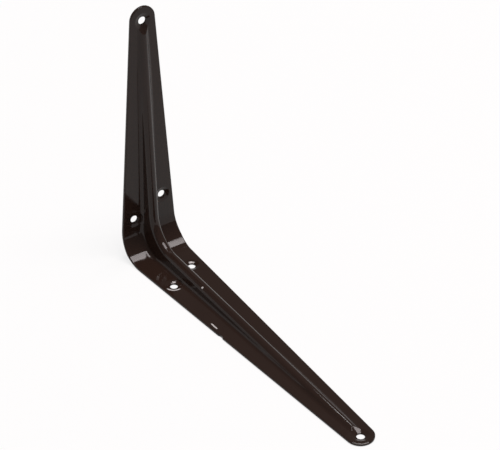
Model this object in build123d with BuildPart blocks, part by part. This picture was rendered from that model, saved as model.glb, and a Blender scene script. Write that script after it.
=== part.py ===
from build123d import *
from math import radians, tan
import os

os.makedirs("parts", exist_ok=True)

# Sheet and outline, in millimetres, measured from the outer corner of the bend
short_arm = 150.0
long_arm = 200.0
sheet = 1.5
bend_radius = 17.2
corner_half_width = 17.6
tip_radius = 7.45
edge_break = 0.3

# Pressed rib: one nose shape follows the crest line, deepest in the bend
nose_radius = 2.8
nose_half_flat = 0.2
wall_angle = 75.0
crest_corner_height = 8.0
crest_short_end_height = 1.1
crest_long_end_height = 0.8
crest_bend_radius = 16.5
toe_angle = 26.0
toe_bend_radius = 6.0
fold_radius = 2.4
dish_overlap = 1.5
short_hollow_gap = 6.5
long_hollow_gap = 4.5

# Screw holes, dished from the inside of the angle
tip_hole_radius = 2.15
tip_hole_land = 0.65
tip_dish_radius = 4.6
short_tip_inset = 8.4
long_tip_inset = 6.9
pair_hole_radius = 2.05
pair_hole_land = 0.55
pair_rim_radius = 2.85
pair_dish_radius = 4.6
pair_half_spacing = 8.8
short_pair_near = 21.6
long_pair_near = 29.5
pair_stagger = 9.8
rim_slope = 17.0
rim_round = 2.0
rib_cut_angle = 26.0

# A knock on the long arm's edge
nick_station = 89.5
nick_radius = 3.5
nick_depth = 0.7

# Stations and sizes that follow from those above
short_tip_hole = short_arm - short_tip_inset
long_tip_hole = long_arm - long_tip_inset
short_pair_far = short_pair_near + pair_stagger
long_pair_far = long_pair_near + pair_stagger
short_rib_end = short_tip_hole - tip_dish_radius + dish_overlap
long_rib_end = long_tip_hole - tip_dish_radius + dish_overlap
short_hollow_end = short_tip_hole - tip_dish_radius - short_hollow_gap
long_hollow_end = long_tip_hole - tip_dish_radius - long_hollow_gap
short_fall = (crest_corner_height - crest_short_end_height) / (short_rib_end - sheet - crest_corner_height)
long_fall = (crest_corner_height - crest_long_end_height) / (long_rib_end - sheet - crest_corner_height)
short_hollow_height = crest_short_end_height + short_fall * (short_rib_end - short_hollow_end)
long_hollow_height = crest_long_end_height + long_fall * (long_rib_end - long_hollow_end)
short_toe = (crest_short_end_height + sheet) / tan(radians(toe_angle))
long_toe = (crest_long_end_height + sheet) / tan(radians(toe_angle))
section_depth = crest_corner_height + crest_bend_radius / 2
rib_cut_height = sheet * 2
nose_half_width = nose_radius * tan(radians(wall_angle / 2)) + nose_half_flat
foot_half_width = nose_half_width + section_depth / tan(radians(wall_angle))
half_sheet = sheet / 2
pair_rim_drop = (pair_dish_radius - pair_rim_radius) * tan(radians(rim_slope))
long_taper = (corner_half_width - tip_radius) / (long_arm - tip_radius)
nick_edge = corner_half_width - nick_station * long_taper
wide = corner_half_width + sheet

# The flat strip with its one bend, cut to the two tapered arms
with BuildPart() as strip:
    with BuildSketch(Plane.XZ) as bend_profile:
        Polygon(
            (0, 0),
            (long_arm, 0),
            (long_arm, sheet),
            (sheet, sheet),
            (sheet, short_arm),
            (0, short_arm),
            align=None,
        )
        fillet(bend_profile.vertices().sort_by_distance((0, 0))[0], bend_radius)
        fillet(bend_profile.vertices().sort_by_distance((sheet, sheet))[0], bend_radius - sheet)
    extrude(amount=wide, both=True)
    with BuildSketch(Plane.XY):
        with BuildLine():
            Line((0, -corner_half_width), (0, corner_half_width))
        with Locations((long_arm - tip_radius, 0)):
            Circle(tip_radius)
        make_hull()
    extrude(amount=short_arm, mode=Mode.INTERSECT)
    with BuildSketch(Plane.YZ):
        with BuildLine():
            Line((-corner_half_width, 0), (corner_half_width, 0))
        with Locations((0, short_arm - tip_radius)):
            Circle(tip_radius)
        make_hull()
    extrude(amount=long_arm, mode=Mode.INTERSECT)
    bend_lines = strip.edges().filter_by(Axis.Y)
    outline = [edge for edge in strip.edges() - bend_lines if edge.length > sheet * 2]
    chamfer(outline, edge_break)

# Crest line of the rib as far as it is hollow, in the middle plane
with BuildLine(Plane.XZ) as crest:
    Polyline(
        (sheet + short_hollow_height, short_hollow_end),
        (sheet + crest_corner_height, sheet + crest_corner_height),
        (long_hollow_end, sheet + long_hollow_height),
    )
    fillet(crest.vertices().sort_by(Axis.Z)[1], crest_bend_radius)
crest_line = crest.wires()[0]
short_end = Plane(origin=crest_line @ 0, x_dir=(0, 1, 0), z_dir=crest_line % 0)
long_end = Plane(origin=crest_line @ 1, x_dir=(0, 1, 0), z_dir=crest_line % 1)
short_turn = Axis(short_end.origin, short_end.y_dir)
long_turn = Axis(long_end.origin, -long_end.y_dir)

# The same line run on into the dished tip holes, with a toe at each end that dives into the sheet
with BuildLine(Plane.XZ) as ridge:
    Polyline(
        (0, short_rib_end + short_toe),
        (sheet + crest_short_end_height, short_rib_end),
        (sheet + crest_corner_height, sheet + crest_corner_height),
        (long_rib_end, sheet + crest_long_end_height),
        (long_rib_end + long_toe, 0),
    )
    turns = ridge.vertices().sort_by(Axis.Z)[1:-1]
    fillet(turns[1], crest_bend_radius)
    fillet([turns[0], turns[2]], toe_bend_radius)
ridge_line = ridge.wires()[0]
ridge_end = Plane(origin=ridge_line @ 0, x_dir=(0, 1, 0), z_dir=ridge_line % 0)

# Sections square to those lines: the rib, its hollow, and half the hollow for its round ends
with BuildSketch(ridge_end) as rib_section:
    Polygon(
        (-nose_half_width, 0),
        (nose_half_width, 0),
        (foot_half_width, -section_depth),
        (-foot_half_width, -section_depth),
        align=None,
    )
    fillet(rib_section.vertices().group_by(Axis.Y)[-1], nose_radius)
with BuildSketch(short_end) as hollow_section:
    add(rib_section.sketch_local)
    offset(amount=-sheet)
with BuildSketch(short_end) as hollow_short_half:
    add(hollow_section.sketch_local)
    Rectangle(wide, wide * 2, align=(Align.MIN, Align.CENTER), mode=Mode.INTERSECT)
with BuildSketch(long_end) as hollow_long_half:
    add(hollow_short_half.sketch_local)

# The rib as a full ridge, ended half way through the sheet
with BuildPart() as rib:
    sweep(sections=rib_section.sketch, path=ridge_line)
    with BuildSketch(Plane.XZ) as rib_side:
        Polygon(
            (half_sheet, half_sheet),
            (long_arm, half_sheet),
            (long_arm, short_arm),
            (half_sheet, short_arm),
            align=None,
        )
        fillet(rib_side.vertices().sort_by_distance((0, 0))[0], bend_radius - half_sheet)
    extrude(amount=wide, both=True, mode=Mode.INTERSECT)

# Punches that pierce and dish the screw holes, standing on the outer face
with BuildPart() as tip_punch:
    with BuildSketch(Plane.XZ):
        Polygon(
            (0, -sheet),
            (tip_hole_radius, -sheet),
            (tip_hole_radius, tip_hole_land),
            (tip_dish_radius, sheet),
            (tip_dish_radius + rib_cut_height / tan(radians(rib_cut_angle)), sheet + rib_cut_height),
            (0, sheet + rib_cut_height),
            align=None,
        )
    revolve(axis=Axis.Z)
with BuildPart() as pair_punch:
    with BuildSketch(Plane.XZ) as pair_profile:
        Polygon(
            (0, -sheet),
            (pair_hole_radius, -sheet),
            (pair_hole_radius, pair_hole_land),
            (pair_rim_radius, sheet - pair_rim_drop),
            (pair_dish_radius, sheet),
            (pair_dish_radius, sheet + half_sheet),
            (0, sheet + half_sheet),
            align=None,
        )
        fillet(pair_profile.vertices().sort_by_distance((pair_rim_radius, sheet))[0], rim_round)
    revolve(axis=Axis.Z)
tip_places = [
    Plane((long_tip_hole, 0, 0)),
    Plane((0, 0, short_tip_hole), z_dir=(1, 0, 0)),
]
pair_places = [
    Plane((long_pair_near, pair_half_spacing, 0)),
    Plane((long_pair_far, -pair_half_spacing, 0)),
    Plane((0, -pair_half_spacing, short_pair_near), z_dir=(1, 0, 0)),
    Plane((0, pair_half_spacing, short_pair_far), z_dir=(1, 0, 0)),
]

# Ridge and strip joined, hollowed from behind, then pierced and dished
with BuildPart() as pressing:
    add(strip.part)
    add(rib.part)
    fillet(new_edges(strip.part, rib.part, combined=pressing.part), fold_radius)
    solid_ridge = pressing.part
    sweep(sections=hollow_section.sketch, path=crest_line, mode=Mode.SUBTRACT)
    revolve(hollow_short_half.sketch, axis=short_turn, revolution_arc=180, mode=Mode.SUBTRACT)
    revolve(hollow_long_half.sketch, axis=long_turn, revolution_arc=180, mode=Mode.SUBTRACT)
    outer_skin = [
        strip.faces().sort_by(Axis.Z)[0],
        strip.faces().sort_by(Axis.X)[0],
        strip.faces().filter_by(GeomType.CYLINDER).sort_by_distance((0, 0, 0))[0],
    ]
    hollow_edges = new_edges(solid_ridge, combined=pressing.part)
    mouth = [e for e in hollow_edges if min(f.distance_to(e @ 0.5) for f in outer_skin) < half_sheet / 100]
    fillet(mouth, fold_radius + sheet)
    with Locations(*tip_places):
        add(tip_punch.part, mode=Mode.SUBTRACT)
    with Locations(*pair_places):
        add(pair_punch.part, mode=Mode.SUBTRACT)
    with Locations((nick_station, -nick_edge - nick_radius + nick_depth, 0)):
        Cylinder(nick_radius, sheet * 3, mode=Mode.SUBTRACT)

# Frame of the part: middle of the footprint, on the long arm's outer face
with BuildPart() as bracket:
    with Locations((-long_arm / 2, 0, 0)):
        add(pressing.part)
bracket.part.label = "bracket"
export_step(bracket.part, "parts/bracket.step")
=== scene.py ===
from math import pi, radians

import bpy
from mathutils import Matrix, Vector

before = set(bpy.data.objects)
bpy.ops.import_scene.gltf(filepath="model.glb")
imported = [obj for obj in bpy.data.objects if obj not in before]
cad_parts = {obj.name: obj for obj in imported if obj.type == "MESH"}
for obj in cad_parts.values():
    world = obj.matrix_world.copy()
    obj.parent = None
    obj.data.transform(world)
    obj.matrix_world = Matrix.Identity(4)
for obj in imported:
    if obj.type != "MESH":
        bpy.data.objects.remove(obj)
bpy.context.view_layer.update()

# Camera: the photograph's viewpoint, in metres and degrees
CAMERA_PLACE = (0.77263, -0.53102, 0.73766)
CAMERA_AZIMUTH = 55.577
CAMERA_ELEVATION = 35.36
LENS = 166.769
SENSOR = 36.0

# Studio: a white floor in a dim room, with levels as radiance
FLOOR_SIZE = 6.0
FLOOR_COLOUR = (0.8, 0.8, 0.8)
FLOOR_ROUGHNESS = 0.9
FLOOR_WHITE = 0.8
ROOM_LEVEL = 0.19

# Soft boxes: name, place, target, width and height in metres, level, colour
SOFT_BOXES = (
    ("overhead", (0.50, 1.02, 5.0), (0.50, 1.02, 0.0), (2.41, 3.04), 13.0, (1, 0.92, 0.92)),
    ("far_strip", (-0.919, 0.527, 0.068), (-0.159, -0.173, 0.068), (0.73, 0.13), 1.0, (1, 1, 1)),
    ("far_strip_end", (-0.513, 0.968, 0.068), (0.247, 0.268, 0.068), (0.47, 0.13), 0.3, (1, 1, 1)),
    ("side_card", (-0.56, -0.44, 0.18), (-0.04, 0, 0.01), (0.40, 0.24), 0.7, (1, 1, 1)),
    ("crest_lamp", (-0.490, 0.458, 0.715), (0.045, 0, 0.003), (0.05, 0.03), 18.0, (1, 1, 1)),
)

# Paint, in linear colour
PAINT_DARK = (0.0180, 0.0100, 0.0074)
PAINT_LIGHT = (0.0225, 0.0126, 0.0093)
PAINT_RUBBED = (0.060, 0.044, 0.038)
BARE_AND_HIGHLIGHT_COLOUR = (0.46, 0.45, 0.44)
CLOUD_SCALE = 45
GLOSS_SCALE = 150
GLOSS_RANGE = (0.30, 0.72)
ROUGHNESS_LEAST = 0.045
ROUGHNESS_MOST = 0.085
WORN_ROUGHNESS = 0.22
SPECULAR = 0.22

# Paint's shape, in metres and in noise scales per metre
EDGE_ROUND = 0.0006
EDGE_SAMPLES = 8
EDGE_TURN = (0.98, 0.80)
RUB_SCALE = 260
RUB_RANGE = (0.42, 0.66)
PEEL_SCALE = 700
PEEL_HEIGHT = 4e-6
WAVE_SCALE = 60
WAVE_HEIGHT = 6e-5
PAINT_THICKNESS = 0.00005

# Marks, in metres: a pale scrape beside the knocked edge, which also stands in for a painted glint of the
# dent there, a bare chip on the rib, and painted highlights as pale crescents on hole rims
SCRAPE_GLINT_CENTRE = (-0.0189, -0.0110, 0.0015)
SCRAPE_GLINT_HALF_LENGTH = 0.0026
SCRAPE_GLINT_HALF_WIDTH = 0.0004
CHIP_CENTRE = (-0.04379, -0.00182, 0.00712)
CHIP_RADIUS = 0.0008
# Sides towards and away from the camera, where the rim crescents paint highlights
NEAR_SIDE = (0.825, -0.565, 0)
FAR_SIDE = (-0.825, 0.565, 0)
LEFT_HOLE = (-0.0607, -0.0088, 0.0015)
RIGHT_HOLE = (-0.0705, 0.0088, 0.0015)
RIM_FADE = 0.0003

# Each painted highlight crescent on a hole rim: centre, side, inner and outer radius, cosine to that side
# where the painted highlight starts and is full
RIM_HIGHLIGHTS = (
    (LEFT_HOLE, NEAR_SIDE, 0.0040, 0.0053, 0.60, 0.85),
    (LEFT_HOLE, FAR_SIDE, 0.0025, 0.0035, 0.91, 0.98),
    (RIGHT_HOLE, FAR_SIDE, 0.0024, 0.0035, 0.80, 0.93),
)

# The long tip's near edge, a painted highlight line made in the same way, and what share of full pale
# paint it gets
TIP_CENTRE = (0.09255, 0, 0.0015)
TIP_EDGE_HIGHLIGHT = (TIP_CENTRE, NEAR_SIDE, 0.0068, 0.00747, 0.78, 0.96)
TIP_HIGHLIGHT_SHARE = 0.3


def add_camera():
    data = bpy.data.cameras.new("camera")
    data.lens = LENS
    data.sensor_width = SENSOR
    data.sensor_fit = "HORIZONTAL"
    camera = bpy.data.objects.new("camera", data)
    camera.location = CAMERA_PLACE
    camera.rotation_euler = (radians(90 - CAMERA_ELEVATION), 0, radians(CAMERA_AZIMUTH))
    bpy.context.collection.objects.link(camera)
    bpy.context.scene.camera = camera


def add_world():
    world = bpy.data.worlds.new("room")
    world.use_nodes = True
    room = world.node_tree.nodes["Background"]
    room.inputs["Color"].default_value = (1, 1, 1, 1)
    room.inputs["Strength"].default_value = ROOM_LEVEL
    bpy.context.scene.world = world


def add_softbox(name, place, target, size, level, colour):
    """A soft box whose face has the given radiance, and which the camera doesn't see itself."""
    data = bpy.data.lights.new(name, "AREA")
    data.shape = "RECTANGLE"
    data.size, data.size_y = size
    data.energy = level * pi * size[0] * size[1]
    data.color = colour
    light = bpy.data.objects.new(name, data)
    light.location = place
    aim = Vector(target) - Vector(place)
    light.rotation_euler = aim.to_track_quat("-Z", "Y").to_euler()
    light.visible_camera = False
    bpy.context.collection.objects.link(light)


def set_input(tree, socket, value):
    """Give a socket a constant, or link it to another node's output."""
    if isinstance(value, bpy.types.NodeSocket):
        tree.links.new(value, socket)
    else:
        socket.default_value = value


def calc(tree, operation, first, second):
    node = tree.nodes.new("ShaderNodeMath")
    node.operation = operation
    set_input(tree, node.inputs[0], first)
    set_input(tree, node.inputs[1], second)
    return node.outputs["Value"]


def vector_calc(tree, operation, first, second, result):
    node = tree.nodes.new("ShaderNodeVectorMath")
    node.operation = operation
    set_input(tree, node.inputs[0], first)
    set_input(tree, node.inputs[1], second)
    return node.outputs[result]


def fade(tree, value, start, end, start_value=0.0, end_value=1.0):
    """A smooth step from one value to another while the input goes from start to end."""
    node = tree.nodes.new("ShaderNodeMapRange")
    node.interpolation_type = "SMOOTHSTEP"
    set_input(tree, node.inputs["Value"], value)
    node.inputs["From Min"].default_value = start
    node.inputs["From Max"].default_value = end
    node.inputs["To Min"].default_value = start_value
    node.inputs["To Max"].default_value = end_value
    return node.outputs["Result"]


def noise(tree, place, scale, detail):
    node = tree.nodes.new("ShaderNodeTexNoise")
    tree.links.new(place, node.inputs["Vector"])
    node.inputs["Scale"].default_value = scale
    node.inputs["Detail"].default_value = detail
    return node.outputs["Fac"]


def blend_colour(tree, factor, first, second):
    node = tree.nodes.new("ShaderNodeMix")
    node.data_type = "RGBA"
    set_input(tree, node.inputs[0], factor)
    set_input(tree, node.inputs[6], first)
    set_input(tree, node.inputs[7], second)
    return node.outputs[2]


def floor_material():
    """A matt white that camera and gloss see as a share of plain white, and that keeps its shadows."""
    material = bpy.data.materials.new("floor")
    material.use_nodes = True
    tree = material.node_tree
    shader = tree.nodes["Principled BSDF"]
    shader.inputs["Base Color"].default_value = (*FLOOR_COLOUR, 1)
    shader.inputs["Roughness"].default_value = FLOOR_ROUGHNESS
    shader.inputs["Specular IOR Level"].default_value = 0.0
    white = tree.nodes.new("ShaderNodeEmission")
    path = tree.nodes.new("ShaderNodeLightPath").outputs
    seen = calc(tree, "MAXIMUM", path["Is Camera Ray"], path["Is Glossy Ray"])
    seen = calc(tree, "MAXIMUM", seen, path["Is Transmission Ray"])
    mix = tree.nodes.new("ShaderNodeMixShader")
    tree.links.new(calc(tree, "MULTIPLY", seen, FLOOR_WHITE), mix.inputs["Fac"])
    tree.links.new(shader.outputs["BSDF"], mix.inputs[1])
    tree.links.new(white.outputs["Emission"], mix.inputs[2])
    tree.links.new(mix.outputs["Shader"], tree.nodes["Material Output"].inputs["Surface"])
    return material


def add_floor():
    bpy.ops.mesh.primitive_plane_add(size=FLOOR_SIZE, location=(0, 0, 0))
    floor = bpy.context.object
    floor.name = "floor"
    floor.data.materials.append(floor_material())


def scrape_and_glint(tree, place):
    """Where the knock on the edge scraped the paint away, and a painted glint of the dent beside it, as a
    mask.
    """
    apart = tree.nodes.new("ShaderNodeSeparateXYZ")
    tree.links.new(vector_calc(tree, "SUBTRACT", place, SCRAPE_GLINT_CENTRE, "Vector"), apart.inputs["Vector"])
    along = calc(tree, "ABSOLUTE", apart.outputs["X"], 0.0)
    across = calc(tree, "ABSOLUTE", apart.outputs["Y"], 0.0)
    length = fade(tree, along, SCRAPE_GLINT_HALF_LENGTH * 1.2, SCRAPE_GLINT_HALF_LENGTH * 0.8)
    width = fade(tree, across, SCRAPE_GLINT_HALF_WIDTH * 1.3, SCRAPE_GLINT_HALF_WIDTH * 0.7)
    return calc(tree, "MULTIPLY", length, width)


def painted_rim_highlight(tree, place, centre, side, inner, outer, start, full):
    """A painted highlight on one side of a round rim, as a mask."""
    arm = vector_calc(tree, "SUBTRACT", place, centre, "Vector")
    away = vector_calc(tree, "LENGTH", arm, (0, 0, 0), "Value")
    facing = calc(tree, "DIVIDE", vector_calc(tree, "DOT_PRODUCT", arm, side, "Value"), away)
    ring = calc(tree, "MULTIPLY", fade(tree, away, inner, inner + RIM_FADE),
                fade(tree, away, outer, outer - RIM_FADE))
    return calc(tree, "MULTIPLY", ring, fade(tree, facing, start, full))


def paint():
    """Brown gloss paint: slight orange peel and waviness, uneven gloss, edges rubbed thin, a few marks,
    and painted highlights on hole rims and the long tip's edge.
    """
    material = bpy.data.materials.new("brown_gloss_paint")
    material.use_nodes = True
    tree = material.node_tree
    shader = tree.nodes["Principled BSDF"]
    place = tree.nodes.new("ShaderNodeTexCoord").outputs["Object"]

    # The paint's rounded edges, and how far each point's normal turns for them
    rounded = tree.nodes.new("ShaderNodeBevel")
    rounded.samples = EDGE_SAMPLES
    rounded.inputs["Radius"].default_value = EDGE_ROUND
    flat = tree.nodes.new("ShaderNodeNewGeometry").outputs["Normal"]
    turn = vector_calc(tree, "DOT_PRODUCT", rounded.outputs["Normal"], flat, "Value")
    edge = fade(tree, turn, *EDGE_TURN)
    rubbed = calc(tree, "MULTIPLY", edge, fade(tree, noise(tree, place, RUB_SCALE, 3), *RUB_RANGE))

    # Bare places and painted highlights: the scrape, which also paints the dent's glint, the bare chip,
    # and painted highlights on hole rims and the long tip's edge
    off_chip = vector_calc(tree, "DISTANCE", place, CHIP_CENTRE, "Value")
    chipped = fade(tree, off_chip, CHIP_RADIUS, CHIP_RADIUS * 0.5)
    # The scrape is bare metal and also a painted glint of the dent
    bare_and_highlight = calc(tree, "MAXIMUM", scrape_and_glint(tree, place), chipped)
    for rim in RIM_HIGHLIGHTS:
        bare_and_highlight = calc(tree, "MAXIMUM", bare_and_highlight, painted_rim_highlight(tree, place, *rim))
    # The long tip's edge: a painted highlight line
    tip_highlight = calc(tree, "MULTIPLY", painted_rim_highlight(tree, place, *TIP_EDGE_HIGHLIGHT), TIP_HIGHLIGHT_SHARE)
    bare_and_highlight = calc(tree, "MAXIMUM", bare_and_highlight, tip_highlight)

    # Colour: clouded brown, paler where rubbed, pale where bare and where highlights are painted
    clouded = blend_colour(tree, noise(tree, place, CLOUD_SCALE, 4), (*PAINT_DARK, 1), (*PAINT_LIGHT, 1))
    worn = blend_colour(tree, rubbed, clouded, (*PAINT_RUBBED, 1))
    tree.links.new(blend_colour(tree, bare_and_highlight, worn, (*BARE_AND_HIGHLIGHT_COLOUR, 1)), shader.inputs["Base Color"])

    # Gloss: uneven, duller where rubbed, bare or painted with highlights
    gloss_noise = noise(tree, place, GLOSS_SCALE, 3)
    gloss = fade(tree, gloss_noise, *GLOSS_RANGE, ROUGHNESS_LEAST, ROUGHNESS_MOST)
    dull = calc(tree, "MULTIPLY", calc(tree, "MAXIMUM", rubbed, bare_and_highlight), WORN_ROUGHNESS)
    tree.links.new(calc(tree, "ADD", gloss, dull), shader.inputs["Roughness"])
    shader.inputs["Specular IOR Level"].default_value = SPECULAR

    # Relief in metres: orange peel, slow waves in the sheet, lost paint where bare and where highlights
    # are painted
    peel = calc(tree, "MULTIPLY", noise(tree, place, PEEL_SCALE, 2), PEEL_HEIGHT)
    waves = calc(tree, "MULTIPLY", noise(tree, place, WAVE_SCALE, 1), WAVE_HEIGHT)
    lost = calc(tree, "MULTIPLY", bare_and_highlight, PAINT_THICKNESS)
    relief = calc(tree, "SUBTRACT", calc(tree, "ADD", peel, waves), lost)
    bump = tree.nodes.new("ShaderNodeBump")
    bump.inputs["Strength"].default_value = 1.0
    bump.inputs["Distance"].default_value = 1.0
    tree.links.new(relief, bump.inputs["Height"])
    tree.links.new(rounded.outputs["Normal"], bump.inputs["Normal"])
    tree.links.new(bump.outputs["Normal"], shader.inputs["Normal"])
    return material


add_camera()
add_world()
add_floor()
for box in SOFT_BOXES:
    add_softbox(*box)

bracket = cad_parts["bracket"]
finish = paint()
for slot in bracket.material_slots:
    slot.material = finish

bpy.context.scene.view_settings.view_transform = "Standard"
